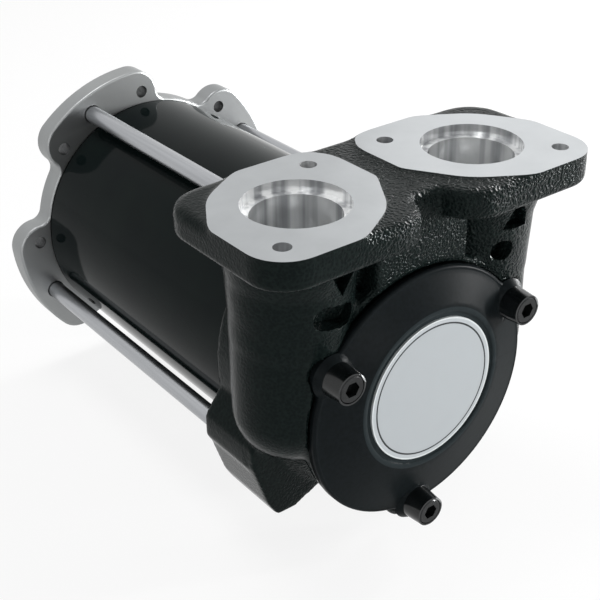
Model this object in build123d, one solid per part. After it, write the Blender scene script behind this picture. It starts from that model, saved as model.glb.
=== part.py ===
from build123d import *
import math
import os

os.makedirs("parts", exist_ok=True)

# Motor end. The rear mounting face is at y = 0 and the pump points along -Y.
FLANGE_T = 8.6
TUBE_R = 50.0
TUBE_WALL = 3.5
TUBE_L = 128.0
SPIGOT_T = 4.0
FLANGE_RING_R = TUBE_R + 0.8
BOLT_CIRCLE_R = 55.0
BOLT_HOLE_R = 2.6
LOBE_EDGE = 9.6
LOBE_R = BOLT_CIRCLE_R + LOBE_EDGE
LOBE_SPAN = 61.0
LOBE_ANGLE = 22.5
LOBE_CORNER = 10.5
LOBE_ROOT = 5.0
ROD_R = 3.5
ROD_CLEAR = 2.7
ROD_CIRCLE_R = TUBE_R + ROD_R + ROD_CLEAR
ROD_ANGLE = 25.5
HUMP_R = 7.2
ROD_THREAD_R = 3.0
ROD_THREAD_L = 12.0
NUT_AF = 10.0
NUT_T = 3.2
NUT_SINK = 4.6
GROMMET_R = 5.0
GROMMET_DROP = 34.0

# Motor inner pieces
AIR_GAP = 0.7
MAGNET_R_OUT = TUBE_R - TUBE_WALL
MAGNET_T = 9.8
MAGNET_L = 66.0
MAGNET_ARC = 66.0
CORE_R = MAGNET_R_OUT - MAGNET_T - AIR_GAP
CORE_L = 58.0
CORE_MID_Y = -82.0
TEETH = 15
SLOT_W = 5.0
SLOT_DEPTH = 15.0
SHAFT_R = 7.5
CORE_SHAFT_R = 9.0
COMM_R = 15.0
COMM_L = 17.0
COMM_Y = -20.5
COMM_BARS = 30
BRUSH_W = 8.0
BRUSH_L = 14.0
BRUSH_AXIAL = 11.0
BRUSH_COIL_R = 3.0
BRUSH_WIRE = 0.45
BRUSH_PITCH = 2.6
COIL_REAR = 9.0
COIL_FRONT = 10.0
COLLAR_GAP = 1.5
BEARING_R = 17.5
BEARING_W = 11.0
BALLS = 8
BALL_R = 2.9
SEAL_R = 15.0
SEAL_W = 7.0
SEAL_SKIN = 2.5
SEAL_LIP = 2.0
SEAL_GAP = 1.0

# Pump end. Everything is placed from the axis of the two ports.
BODY_REAR = -(FLANGE_T + TUBE_L)
BODY_DEPTH = 32.0
PORT_Y = BODY_REAR - BODY_DEPTH
JOINT_Y = PORT_Y - 17.5
ADAPTOR_R = TUBE_R + 0.6
ADAPTOR_FRONT = PORT_Y + 3.0
SHOULDER_R = ADAPTOR_R + 1.0
SHOULDER_OUT = 4.0
SHOULDER_ROUND = 6.0
ROD_LOBE_R = 6.4
PORT_X = 38.2
PLATE = 64.0
PLATE_CORNER = 14.0
PLATE_Z = 62.0
DECK_Z = 69.4
FACE_Z = 72.8
EDGE_ROUND = 1.2
LUG_FILLET = 1.5
LUG_R = 27.2
PORT_BOLT_R = 30.1
PORT_HOLE_R = 3.0
PORT_MOUTH_R = 18.0
PORT_MOUTH_D = 4.0
PORT_BORE_R = 15.15
PORT_BORE_D = 22.0
PASSAGE_R = 12.6
ELBOW_Z = 38.0
DUCT_R = 9.0
COLUMN_R = 20.6
COLUMN_OUT = 2.7
COLUMN_BACK = 0.8
COLUMN_ROUND = 19.8
COLUMN_END = -21.3
NECK_Z = 26.0
NECK_GROWTH = 2.4
NECK_LEAN = 1.5
WEB_PROUD = 1.2
BARREL_R = 45.0
BARREL_FLANGE = 5.0
POCKET_D = 11.0

# Chamber, rotor and cover
ECCENTRIC = 4.0
CHAMBER_R = 34.0
CHAMBER_W = 22.0
RUN_GAP = 0.3
ROTOR_R = CHAMBER_R - ECCENTRIC - RUN_GAP
VANES = 5
VANE_T = 4.0
VANE_H = 12.6
VANE_STROKE = 2.0
COVER_R = 48.0
COVER_T = 3.4
COVER_GAP = 0.4
DOME_RISE = 4.8
BADGE_R = 27.3
BADGE_T = 0.8
RECESS_R = 29.3
SCREW_CIRCLE_R = 46.0
EAR_R = 7.4
LOW_BOSS_R = 9.4
SCREW_R = 3.0
HEAD_R = 5.0
HEAD_H = 6.0
SCREW_BOSS = 3.6
SCREW_GRIP = 16.0

# Bypass valve in the bridge between the ports
VALVE_Z = 59.2
VALVE_R = 6.0
VALVE_SEAT_R = 4.2
VALVE_SEAT_Y = PORT_Y - 4.0
PLUG_R = 7.0
PLUG_L = 10.0
POPPET_T = 4.0
STEM_R = 2.0
STEM_L = 9.0
SEAT_GAP = 0.2
VALVE_COIL_R = 4.0
VALVE_WIRE = 0.6
VALVE_PITCH = 4.0


def rod(r, y0, y1, x=0.0, z=0.0):
    """Round bar along Y from y0 to y1."""
    return Pos(x, (y0 + y1) / 2, z) * Rot(90, 0, 0) * Cylinder(r, abs(y1 - y0))


def along_y(sketch, y_back, y_front):
    """Extrude a sketch drawn in X and Z from y_back forwards to y_front."""
    return extrude(Plane.XZ.offset(-y_back) * sketch, amount=y_back - y_front)


def polar(r, angle, y=0.0):
    a = math.radians(angle)
    return Pos(r * math.cos(a), y, r * math.sin(a))


def turned(shape, angle):
    """Turn a shape about the shaft axis, positive from +X towards +Z."""
    return Rot(0, -angle, 0) * shape


def ring_pattern(shape, count):
    return [turned(shape, 360 / count * i) for i in range(count)]


def fuse(shapes):
    total = shapes[0]
    for s in shapes[1:]:
        total = total + s
    return total


def save(name, shape):
    solids = shape if isinstance(shape, list) else [shape]
    bodies = [b for s in solids for b in s.solids()]
    out = bodies[0] if len(bodies) == 1 else Compound(children=bodies)
    export_step(out, "parts/" + name + ".step")


ROD_ANGLES = [ROD_ANGLE + 90 * i for i in range(4)]
SCREW_ANGLES = (30, 150, 267)
COVER_FACE = JOINT_Y - COVER_T
BADGE_Y = COVER_FACE - DOME_RISE


# Rear end shield

def lobed_plate():
    wedge = make_face(Polyline((0, 0), *[
        (2 * LOBE_R * math.cos(math.radians(t)), 2 * LOBE_R * math.sin(math.radians(t)))
        for t in (LOBE_ANGLE - LOBE_SPAN / 2, LOBE_ANGLE, LOBE_ANGLE + LOBE_SPAN / 2)],
        (0, 0)))
    lobe = along_y(Circle(LOBE_R) & wedge, 0, -FLANGE_T)
    plate = rod(FLANGE_RING_R, 0, -FLANGE_T)
    for i in range(4):
        plate += turned(lobe, 90 * i)
    step = LOBE_R - FLANGE_RING_R
    plate = fillet(upright(plate, LOBE_R), min(LOBE_CORNER, 0.8 * step))
    plate = fillet(upright(plate, FLANGE_RING_R), min(LOBE_ROOT, 0.4 * step))
    return fillet(plate.faces().sort_by(Axis.Y)[0].outer_wire().edges(), 1.0)


def upright(shape, radius):
    """Edges along Y that stand at one distance from the shaft axis."""
    return [e for e in shape.edges().filter_by(Axis.Y)
            if abs(math.hypot(e.center().X, e.center().Z) - radius) < 0.1]


def rear_end_shield():
    plate = lobed_plate()
    hump = Pos(0, -FLANGE_T - 1.75, 0) * Rot(90, 0, 0) * Cone(HUMP_R, ROD_R + 1.6, 3.5)
    humps = fuse([polar(ROD_CIRCLE_R, a) * hump for a in ROD_ANGLES])
    plate += humps - rod(TUBE_R + 0.1, 0, -40)
    plate += rod(MAGNET_R_OUT - 0.15, -FLANGE_T + 0.5, -FLANGE_T - SPIGOT_T)
    plate -= rod(MAGNET_R_OUT - 5.0, -4.5, -FLANGE_T - SPIGOT_T)
    hub = rod(BEARING_R + 4.5, -4.0, -16.5)
    plate += hub
    for i in range(6):
        rib = Pos(BEARING_R + 14, -8.0, 0) * Box(26, 8.0, 3.0)
        plate += turned(rib, 60 * i)
    plate -= rod(BEARING_R, -4.2, -16.5)
    plate -= rod(SHAFT_R + 3, -3.0, -5.5)
    for i in range(8):
        plate -= polar(BOLT_CIRCLE_R, 45 * i) * rod(BOLT_HOLE_R, 1, -FLANGE_T - 1)
    for a in ROD_ANGLES:
        plate -= polar(ROD_CIRCLE_R, a) * rod(ROD_R + 0.35, 1, -FLANGE_T - 5)
        plate -= polar(ROD_CIRCLE_R, a) * rod(NUT_AF / 2 + 1.3, 1, -NUT_SINK)
    plate -= rod(GROMMET_R, 1, -FLANGE_T - 5, 0, -GROMMET_DROP)
    plate -= rod(GROMMET_R + 2.0, 1, -2.0, 0, -GROMMET_DROP)
    return plate


def cable_grommet():
    body = rod(GROMMET_R, -0.4, -4.5, 0, -GROMMET_DROP)
    body += rod(GROMMET_R + 2.0, -0.4, -2.0, 0, -GROMMET_DROP)
    body += rod(GROMMET_R + 1.5, -4.5, -6.5, 0, -GROMMET_DROP)
    return body - rod(2.6, 3, -8, 0, -GROMMET_DROP)


def motor_tube():
    tube = rod(TUBE_R, -FLANGE_T, BODY_REAR) - rod(TUBE_R - TUBE_WALL, 1, BODY_REAR - 1)
    rims = tube.edges().filter_by(GeomType.CIRCLE).sort_by(SortBy.RADIUS)[-2:]
    return chamfer(rims, 0.4)


def tie_rods():
    seat = BODY_REAR - ROD_THREAD_L
    bars = []
    for a in ROD_ANGLES:
        bar = rod(ROD_R, -NUT_SINK, BODY_REAR - 2.0)
        bar += rod(ROD_THREAD_R, -0.6, seat)
        bars.append(polar(ROD_CIRCLE_R, a) * chamfer(bar.edges().sort_by(Axis.Y)[-1], 0.6))
    return bars


def tie_rod_nuts():
    nut = along_y(RegularPolygon(NUT_AF / 2, 6, major_radius=False), 0, -NUT_T)
    nut = Pos(0, -NUT_SINK + NUT_T, 0) * nut - rod(ROD_THREAD_R, 1, -NUT_SINK - 1)
    return [polar(ROD_CIRCLE_R, a) * nut for a in ROD_ANGLES]


# Motor inner pieces

def field_magnets():
    blank = rod(MAGNET_R_OUT, CORE_MID_Y + MAGNET_L / 2, CORE_MID_Y - MAGNET_L / 2)
    blank -= rod(MAGNET_R_OUT - MAGNET_T, 0, BODY_REAR)
    half = math.radians(MAGNET_ARC / 2)
    far = 2 * MAGNET_R_OUT
    wedge = make_face(Polyline((0, 0), (far * math.cos(half), -far * math.sin(half)), (far, 0),
                               (far * math.cos(half), far * math.sin(half)), (0, 0)))
    return ring_pattern(blank & along_y(wedge, 0, BODY_REAR), 4)


def armature_core():
    y0, y1 = CORE_MID_Y + CORE_L / 2, CORE_MID_Y - CORE_L / 2
    disc = Circle(CORE_R) - Circle(CORE_SHAFT_R)
    slot = Pos(CORE_R - SLOT_DEPTH / 2 - 2.2, 0) * SlotOverall(SLOT_DEPTH, SLOT_W)
    mouth = Pos(CORE_R - 1, 0) * Rectangle(6, 2.0)
    for i in range(TEETH):
        disc -= Rot(0, 0, 360 / TEETH * i) * (slot + mouth)
    return along_y(disc, y0, y1)


def armature_winding():
    y0, y1 = CORE_MID_Y + CORE_L / 2, CORE_MID_Y - CORE_L / 2
    bars = Pos(CORE_R - SLOT_DEPTH / 2 - 2.2, 0) * SlotOverall(SLOT_DEPTH - 0.6, SLOT_W - 0.6)
    bar = along_y(bars, y0 + 4, y1 - 4)
    coil_r = CORE_R - 3.0
    head = rod(coil_r, y0, y0 + COIL_REAR) - rod(CORE_SHAFT_R + 2.5, y0 - 1, y0 + COIL_REAR + 1)
    tail = rod(coil_r, y1, y1 - COIL_FRONT) - rod(CORE_SHAFT_R + 2.5, y1 + 1, y1 - COIL_FRONT - 1)
    ends = [fillet(e.edges().filter_by(GeomType.CIRCLE).sort_by(Axis.Y)[i:j], 3.5)
            for e, i, j in ((head, 2, 4), (tail, 0, 2))]
    return fuse(ends + ring_pattern(bar, TEETH))


def commutator():
    copper = rod(COMM_R, COMM_Y, COMM_Y - COMM_L) + rod(COMM_R + 2.4, COMM_Y - COMM_L + 3, COMM_Y - COMM_L)
    copper -= rod(SHAFT_R, 0, BODY_REAR)
    cut = Pos(COMM_R + 1.5, COMM_Y - COMM_L / 2, 0) * Box(5.0, COMM_L + 2, 0.7)
    for c in ring_pattern(cut, COMM_BARS):
        copper -= c
    return copper


def brush_holder():
    seat = -FLANGE_T - SPIGOT_T
    plate = rod(MAGNET_R_OUT - 0.6, seat, seat - 2.5)
    plate -= rod(BEARING_R + 5.2, 0, -40)
    plate += along_y(Rectangle(16, 2 * (BEARING_R + 10)) - Circle(COMM_R + 3.4), seat - 4, seat - 6.5)
    for s in (1, -1):
        box = Pos(0, COMM_Y - 8.0, s * (COMM_R + 15)) * Box(BRUSH_W + 3, BRUSH_AXIAL + 3, 23)
        bore = Pos(0, COMM_Y - 8.0, s * (COMM_R + 12)) * Box(BRUSH_W + 0.2, BRUSH_AXIAL + 0.2, 25)
        plate = plate + box - bore
        plate += Pos(0, seat - 3, s * (COMM_R + 22)) * Box(BRUSH_W + 3, 6, 8)
        plate -= bore
    return plate


def carbon_brushes():
    out = []
    for s in (1, -1):
        block = Pos(0, COMM_Y - 8.0, s * (COMM_R + 0.3 + BRUSH_L / 2)) * Box(BRUSH_W, BRUSH_AXIAL, BRUSH_L + 4)
        out.append(block - rod(COMM_R + 0.3, 0, BODY_REAR))
    return out


def spring(radius, wire, pitch, length):
    """Coil spring standing on the XY plane, axis +Z."""
    path = Helix(pitch, length - 2 * wire, radius)
    start = Plane(origin=path @ 0, z_dir=path % 0)
    coil = sweep(start * RegularPolygon(wire, 8), path, is_frenet=True)
    return Pos(0, 0, wire) * coil


def brush_springs():
    base = COMM_R + 0.3 + BRUSH_L + 2
    end = COMM_R + 12 + 12.5
    coil = Pos(0, COMM_Y - 8.0, base) * spring(BRUSH_COIL_R, BRUSH_WIRE, BRUSH_PITCH, end - base)
    return [coil, Rot(0, 180, 0) * coil]


def bearing_rows():
    """Back faces of the rear and the front bearing."""
    return (-5.0, BODY_REAR - 4.0)


def outer_races():
    out = []
    for y in bearing_rows():
        ring = rod(BEARING_R, y, y - BEARING_W) - rod(BEARING_R - 3.2, y + 1, y - BEARING_W - 1)
        groove = Pos(0, y - BEARING_W / 2, 0) * Rot(90, 0, 0) * Torus(ball_circle(), BALL_R + 0.1)
        out.append(ring - groove)
    return out


def inner_races():
    out = []
    for y in bearing_rows():
        ring = rod(SHAFT_R + 2.9, y, y - BEARING_W) - rod(SHAFT_R, y + 1, y - BEARING_W - 1)
        groove = Pos(0, y - BEARING_W / 2, 0) * Rot(90, 0, 0) * Torus(ball_circle(), BALL_R + 0.1)
        out.append(ring - groove)
    return out


def ball_circle():
    return (BEARING_R + SHAFT_R) / 2


def bearing_balls():
    out = []
    for y in bearing_rows():
        out += ring_pattern(Pos(ball_circle(), y - BEARING_W / 2, 0) * Sphere(BALL_R), BALLS)
    return out


def motor_shaft():
    rear, front = bearing_rows()
    s = rod(SHAFT_R, rear + 1.2, seal_back() - SEAL_W)
    s += rod(CORE_SHAFT_R, COMM_Y - COMM_L - COLLAR_GAP, CORE_MID_Y - CORE_L / 2 - COIL_FRONT - 4)
    s += rod(SHAFT_R - 0.5, front, JOINT_Y + 3.0)
    return s - keyway()


def keyway():
    length = CHAMBER_W - 6
    return Pos(0, JOINT_Y + CHAMBER_W / 2, SHAFT_R - 0.5) * Box(4.0, length, 4.6)


def rotor_key():
    length = CHAMBER_W - 6
    return Pos(0, JOINT_Y + CHAMBER_W / 2, SHAFT_R - 0.5) * Box(4.0, length, 4.4)


def seal_back():
    """Back face of the shaft seal, in front of the front bearing."""
    return bearing_rows()[1] - BEARING_W - SEAL_GAP


def shaft_seal():
    back = seal_back()
    front = back - SEAL_W
    lip = SHAFT_R + RUN_GAP
    seal = rod(SEAL_R, back, front) - rod(lip, back + 1, front - 1)
    seal -= rod(SEAL_R - SEAL_SKIN, back - 1.5, front - 1) - rod(lip + SEAL_LIP, back, front - 2)
    return seal


def wave_washer():
    return rod(BEARING_R - 0.4, -4.2, -5.0) - rod(BEARING_R - 3.4, 0, -6)


# Pump inner pieces

def pump_rotor():
    y0, y1 = JOINT_Y + CHAMBER_W - RUN_GAP, JOINT_Y + RUN_GAP
    disc = Circle(ROTOR_R) - Circle(SHAFT_R - 0.5)
    depth = VANE_H + VANE_STROKE
    cut = Pos(ROTOR_R - depth / 2 + 1, 0) * Rectangle(depth + 2, VANE_T + 0.12)
    ease = Pos(ROTOR_R - depth, 0) * Circle(VANE_T / 2 + 0.6)
    for i in range(VANES):
        disc -= Rot(0, 0, 90 + 36 + 360 / VANES * i) * (cut + ease)
    return along_y(disc, y0, y1) - keyway()


def vane(i):
    outline = Rectangle(VANE_H, VANE_T)
    outline = fillet(outline.vertices().sort_by(Axis.X)[-2:], VANE_T / 2 - 0.1)
    blade = along_y(Pos(ROTOR_R - VANE_H / 2, 0) * outline,
                    JOINT_Y + CHAMBER_W - RUN_GAP - 0.1, JOINT_Y + RUN_GAP + 0.1)
    return turned(blade, 90 + 36 + 360 / VANES * i)


def bypass_poppet():
    y = VALVE_SEAT_Y
    head = rod(VALVE_R - 0.25, y + SEAT_GAP + POPPET_T, y + SEAT_GAP, 0, VALVE_Z)
    nose = Pos(0, y - 1.0, VALVE_Z) * Rot(90, 0, 0) * Cone(VALVE_SEAT_R - 0.4, VALVE_SEAT_R - 1.6, 3.0)
    stem = rod(STEM_R, y + POPPET_T, y + POPPET_T + STEM_L, 0, VALVE_Z)
    return head + nose + stem


def bypass_spring():
    base = VALVE_SEAT_Y + SEAT_GAP + POPPET_T
    end = BODY_REAR - PLUG_L
    return Pos(0, base, VALVE_Z) * Rot(-90, 0, 0) * spring(VALVE_COIL_R, VALVE_WIRE, VALVE_PITCH, end - base)


def bypass_plug():
    plug = rod(PLUG_R, BODY_REAR - 0.4, BODY_REAR - PLUG_L, 0, VALVE_Z)
    hexagon = Pos(0, VALVE_Z) * RegularPolygon(4.0, 6, major_radius=False)
    plug -= along_y(hexagon, BODY_REAR, BODY_REAR - 5)
    return chamfer(plug.edges().sort_by(Axis.Y)[0], 0.8)


# Pump body

def machined_outline():
    """Port face on the left port: flat across the bolt diagonal, cut back on the other."""
    h = PLATE / 2
    t = math.degrees(math.acos(LUG_R / h))
    def on(a):
        return (LUG_R * math.cos(math.radians(a)), LUG_R * math.sin(math.radians(a)))
    edges = [
        Polyline((h, 0), (h, h), (0, h), on(90 + t)),
        RadiusArc(on(90 + t), on(180 - t), -LUG_R),
        Polyline(on(180 - t), (-h, 0), (-h, -h), (0, -h), on(270 + t)),
        RadiusArc(on(270 + t), on(360 - t), -LUG_R),
        Line(on(360 - t), (h, 0)),
    ]
    return make_face(edges) & RectangleRounded(PLATE, PLATE, PLATE_CORNER)


def port_plate():
    """Cast plate with the machined face standing on it, rounded wherever the skin was cast."""
    deck = DECK_Z - PLATE_Z
    plate = extrude(RectangleRounded(PLATE, PLATE, PLATE_CORNER), amount=deck)
    plate += extrude(machined_outline(), amount=FACE_Z - PLATE_Z)
    root = [e for e in edges_at(plate, deck) if math.hypot(e.center().X, e.center().Y) < PLATE / 2]
    plate = fillet(root, LUG_FILLET)
    plate = fillet([e for e in edges_at(plate, deck) if math.hypot(e.center().X, e.center().Y) > PLATE / 2],
                   EDGE_ROUND)
    plate = fillet(edges_at(plate, 0), EDGE_ROUND)
    return Pos(-PORT_X, PORT_Y, PLATE_Z) * plate


def edges_at(shape, height):
    return [e for e in shape.edges() if abs(e.center().Z - height) < 0.01]


def port_column():
    """Column below the left port, rounded at its foot and flared forwards into the plate."""
    k = COLUMN_R - COLUMN_ROUND
    side = [
        Polyline((0, COLUMN_END), (k, COLUMN_END)),
        RadiusArc((k, COLUMN_END), (COLUMN_R, COLUMN_END + COLUMN_ROUND), -COLUMN_ROUND),
        Polyline((COLUMN_R, COLUMN_END + COLUMN_ROUND), (COLUMN_R, NECK_Z), (0, NECK_Z), (0, COLUMN_END)),
    ]
    column = revolve(Plane.XZ * make_face(side), Axis.Z)
    column += neck()
    return Pos(-PORT_X - COLUMN_OUT, PORT_Y + COLUMN_BACK, 0) * column


def neck():
    """Rings that grow and lean forwards from the column up to the underside of the plate."""
    rings = []
    for up, grow, lean in ((0, 0, 0), (0.3, 0.05, 0.05), (0.6, 0.3, 0.3), (0.8, 0.85, 0.85), (1, 1, 1)):
        at = Plane.XY.offset(NECK_Z + up * (PLATE_Z - NECK_Z))
        rings.append(at * Pos(0, -lean * NECK_LEAN) * Circle(COLUMN_R + grow * NECK_GROWTH))
    return loft(rings) + extrude(rings[-1], amount=1.0)


def left_foot():
    section = make_face(Polyline((-38, -6), (-49, -9.5), (-57.0, -20.5), (-56.4, -25.5), (-50.0, -44.5),
                                 (-46.5, -50.6), (-38.0, -50.6), (-24.0, -44.4), (-38, -6)))
    outer = [v for v in section.vertices() if v.X < -45 or v.Y < -45]
    section = fillet(outer, 2.4)
    return along_y(section, BODY_REAR, ADAPTOR_FRONT)


def rod_lobe(angle):
    boss = make_hull((Pos(ROD_CIRCLE_R, 0) * Circle(ROD_LOBE_R)).edges()
                     + (Pos(ROD_CIRCLE_R - 20, 0) * Circle(ROD_LOBE_R + 7)).edges())
    return along_y(Rot(0, 0, angle) * boss, BODY_REAR, ADAPTOR_FRONT + 4)


def cover_outline(radius, ears):
    c = Pos(0, -ECCENTRIC) * Circle(radius)
    for a, ear in zip(SCREW_ANGLES, ears):
        t = math.radians(a)
        c += Pos(SCREW_CIRCLE_R * math.cos(t), SCREW_CIRCLE_R * math.sin(t) - ECCENTRIC) * Circle(ear)
    notch = [v for v in c.vertices()
             if abs(math.hypot(v.X, v.Y + ECCENTRIC) - radius) < 0.05]
    return fillet(notch, 5.0)


def barrel():
    """Round front part of the body, with a flange of the cover's outline that carries it."""
    flange = along_y(cover_outline(COVER_R - 0.4, (EAR_R - 0.4, EAR_R - 0.4, LOW_BOSS_R)),
                     JOINT_Y + BARREL_FLANGE, JOINT_Y)
    return flange + rod(BARREL_R, ADAPTOR_FRONT + 1, JOINT_Y, 0, -ECCENTRIC / 2)


def pump_body():
    left = port_plate() + port_column()
    body = left + mirror(left, Plane.YZ)
    body += rod(ADAPTOR_R, BODY_REAR, ADAPTOR_FRONT)
    shoulder = rod(SHOULDER_R, ADAPTOR_FRONT + 12, ADAPTOR_FRONT - SHOULDER_OUT)
    body += fillet(shoulder.edges().filter_by(GeomType.CIRCLE), SHOULDER_ROUND - 0.1)
    body += barrel()
    depth = BODY_REAR - JOINT_Y
    mid = (BODY_REAR + JOINT_Y) / 2
    bridge = PORT_X - PLATE / 2 + PLATE_CORNER
    web = Pos(0, mid - WEB_PROUD / 2, (DECK_Z + 25) / 2) * Box(2 * bridge, depth + WEB_PROUD, DECK_Z - 25)
    body += fillet(web.faces().sort_by(Axis.Y)[0].edges(), 1.0)
    body += Pos(0, mid + 4, (PLATE_Z + 30) / 2) * Box(2 * (PORT_X + COLUMN_OUT), depth - 8, PLATE_Z - 30)
    body += left_foot() + mirror(left_foot(), Plane.YZ)
    for a in ROD_ANGLES:
        body += rod_lobe(a)
    body += rod(MAGNET_R_OUT - 0.15, BODY_REAR + SPIGOT_T, BODY_REAR)
    body -= rod(MAGNET_R_OUT - 6.0, BODY_REAR + SPIGOT_T, BODY_REAR)
    return body - body_cuts()


def body_cuts():
    rear, front = bearing_rows()
    cuts = [rod(CHAMBER_R, JOINT_Y + CHAMBER_W, JOINT_Y - 1, 0, -ECCENTRIC)]
    ears = [EAR_R + COVER_GAP] * len(SCREW_ANGLES)
    seat = cover_outline(COVER_R + COVER_GAP, ears)
    cuts.append(along_y(seat, JOINT_Y, JOINT_Y - 6))
    cuts.append(extrude(Plane.XZ.offset(-JOINT_Y + 0.2) * seat, amount=4, taper=-40))
    cuts.append(rod(BEARING_R, BODY_REAR + 1, front - BEARING_W))
    cuts.append(rod(SEAL_R, front, seal_back() - SEAL_W))
    cuts.append(rod(SHAFT_R + 1.0, front, JOINT_Y))
    for s in (-1, 1):
        at = Pos(s * PORT_X, PORT_Y, 0)
        mouth = Pos(0, 0, FACE_Z - PORT_MOUTH_D / 2) * Cylinder(PORT_MOUTH_R, PORT_MOUTH_D)
        bore = Pos(0, 0, FACE_Z - PORT_BORE_D / 2) * Cylinder(PORT_BORE_R, PORT_BORE_D)
        way = Pos(0, 0, (FACE_Z + ELBOW_Z) / 2) * Cylinder(PASSAGE_R, FACE_Z - ELBOW_Z)
        duct = Pos(0, 0, ELBOW_Z) * Rot(0, s * 36, 0) * Pos(0, 0, -17) * Cylinder(DUCT_R, 34)
        cuts.append(at * (mouth + bore + way))
        cuts.append(at * (duct + Pos(0, 0, ELBOW_Z) * Sphere(PASSAGE_R - 0.05)))
        for k in (-1, 1):
            d = PORT_BOLT_R / math.sqrt(2)
            cuts.append(at * Pos(-s * k * d, k * d, FACE_Z - 8) * Cylinder(PORT_HOLE_R, 24))
    for a in SCREW_ANGLES:
        t = math.radians(a)
        x, z = SCREW_CIRCLE_R * math.cos(t), SCREW_CIRCLE_R * math.sin(t) - ECCENTRIC
        cuts.append(rod(SCREW_R, JOINT_Y + SCREW_GRIP + 2, JOINT_Y - 1, x, z))
    for a in ROD_ANGLES:
        hole = rod(ROD_THREAD_R, BODY_REAR + 1, BODY_REAR - ROD_THREAD_L - 3)
        hole += rod(ROD_R + 0.1, BODY_REAR + 1, BODY_REAR - 2.0)
        cuts.append(polar(ROD_CIRCLE_R, a) * hole)
    cuts += side_pockets()
    groove = rod(CHAMBER_R + 4.6, JOINT_Y + 1.9, JOINT_Y - 1, 0, -ECCENTRIC)
    cuts.append(groove - rod(CHAMBER_R + 2.0, JOINT_Y + 3, JOINT_Y - 2, 0, -ECCENTRIC))
    cuts.append(rod(VALVE_R, BODY_REAR + 1, VALVE_SEAT_Y, 0, VALVE_Z))
    cuts.append(rod(VALVE_SEAT_R, BODY_REAR + 1, VALVE_SEAT_Y - 10, 0, VALVE_Z))
    cuts.append(rod(PLUG_R, BODY_REAR + 1, BODY_REAR - PLUG_L, 0, VALVE_Z))
    for s, y in ((-1, VALVE_SEAT_Y + 9), (1, VALVE_SEAT_Y - 6)):
        cuts.append(Pos(s * PORT_X / 2, y, VALVE_Z - 6) * Rot(0, 90, 0) * Cylinder(3.4, PORT_X))
        cuts.append(Pos(0, y, VALVE_Z - 3) * Cylinder(3.4, 9))
    return cuts


def side_pockets():
    """Blind cored pockets between the web and each column, a slot below a window under each plate."""
    slots = [Pos(-38.6, 40.7) * Rot(0, 0, -12) * SlotOverall(17.5, 8.0),
             Pos(35.8, 40.0) * Rot(0, 0, -12) * SlotOverall(8.6, 7.4)]
    windows = [Polyline((-36.0, 47.6), (-30.4, 58.0), (-42.6, 58.0), (-36.0, 47.6)),
               Polyline((34.9, 48.3), (46.0, 47.4), (42.6, 55.5), (38.4, 57.5), (34.9, 48.3))]
    shapes = slots + [fillet(make_face(w).vertices(), 0.6) for w in windows]
    return [along_y(s, JOINT_Y + POCKET_D, JOINT_Y - 8) for s in shapes]


# Cover end

def front_cover():
    c = along_y(cover_outline(COVER_R, (EAR_R, EAR_R, EAR_R)), JOINT_Y, COVER_FACE)
    c = fillet(c.faces().sort_by(Axis.Y)[0].outer_wire().edges(), 1.2)
    rim = Plane.XZ.offset(-COVER_FACE) * Pos(0, -ECCENTRIC) * Circle(COVER_R - 1.6)
    crown = Plane.XZ.offset(-BADGE_Y) * Circle(RECESS_R + 1.6)
    c += loft([rim, crown])
    for x, z in screw_points():
        boss = Pos(x, COVER_FACE - SCREW_BOSS / 2 + 0.5, z) * Rot(90, 0, 0) * Cone(HEAD_R + 1.5, HEAD_R + 0.6, SCREW_BOSS + 1)
        c += boss
        c -= rod(SCREW_R + 0.2, JOINT_Y + 1, BADGE_Y - 5, x, z)
    c -= rod(RECESS_R, BADGE_Y + BADGE_T - 0.1, BADGE_Y - 3)
    return c


def screw_points():
    return [(SCREW_CIRCLE_R * math.cos(math.radians(a)),
             SCREW_CIRCLE_R * math.sin(math.radians(a)) - ECCENTRIC) for a in SCREW_ANGLES]


def cover_screws():
    seat = COVER_FACE - SCREW_BOSS
    head = rod(HEAD_R, seat, seat - HEAD_H)
    head = chamfer(head.edges().filter_by(GeomType.CIRCLE).sort_by(Axis.Y)[0], 0.5)
    head -= along_y(RegularPolygon(2.5, 6, major_radius=False), seat - HEAD_H + 3, seat - HEAD_H - 1)
    shank = rod(SCREW_R, JOINT_Y + SCREW_GRIP, seat)
    return [Pos(x, 0, z) * (head + shank) for x, z in screw_points()]


def cover_o_ring():
    ring = Pos(0, JOINT_Y + 0.95, -ECCENTRIC) * Rot(90, 0, 0) * Torus(CHAMBER_R + 3.3, 0.95)
    return ring


def badge_disc():
    return rod(BADGE_R, BADGE_Y + BADGE_T - 0.1, BADGE_Y - 0.1)


save("pump_body", pump_body())
save("front_cover", front_cover())
save("cover_screws", cover_screws())
save("cover_o_ring", cover_o_ring())
save("badge_disc", badge_disc())
save("motor_tube", motor_tube())
save("rear_end_shield", rear_end_shield())
save("cable_grommet", cable_grommet())
save("tie_rods", tie_rods())
save("tie_rod_nuts", tie_rod_nuts())
save("field_magnets", field_magnets())
save("armature_core", armature_core())
save("armature_winding", armature_winding())
save("commutator", commutator())
save("brush_holder", brush_holder())
save("carbon_brushes", carbon_brushes())
save("brush_springs", brush_springs())
save("bearing_outer_races", outer_races())
save("bearing_inner_races", inner_races())
save("bearing_balls", bearing_balls())
save("motor_shaft", motor_shaft())
save("rotor_key", rotor_key())
save("shaft_seal", shaft_seal())
save("wave_washer", wave_washer())
save("pump_rotor", pump_rotor())
for n in range(VANES):
    save("vane_" + str(n + 1), vane(n))
save("bypass_poppet", bypass_poppet())
save("bypass_spring", bypass_spring())
save("bypass_plug", bypass_plug())
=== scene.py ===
# %% [markdown]
# A small diesel transfer pump: an iron casting with two pipe flanges on top, a round cover in
# front, and an electric motor behind it, clamped by four long rods to a lobed aluminium flange.
# The CAD model is loaded first and stays where it is. Everything below only dresses it.

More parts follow.
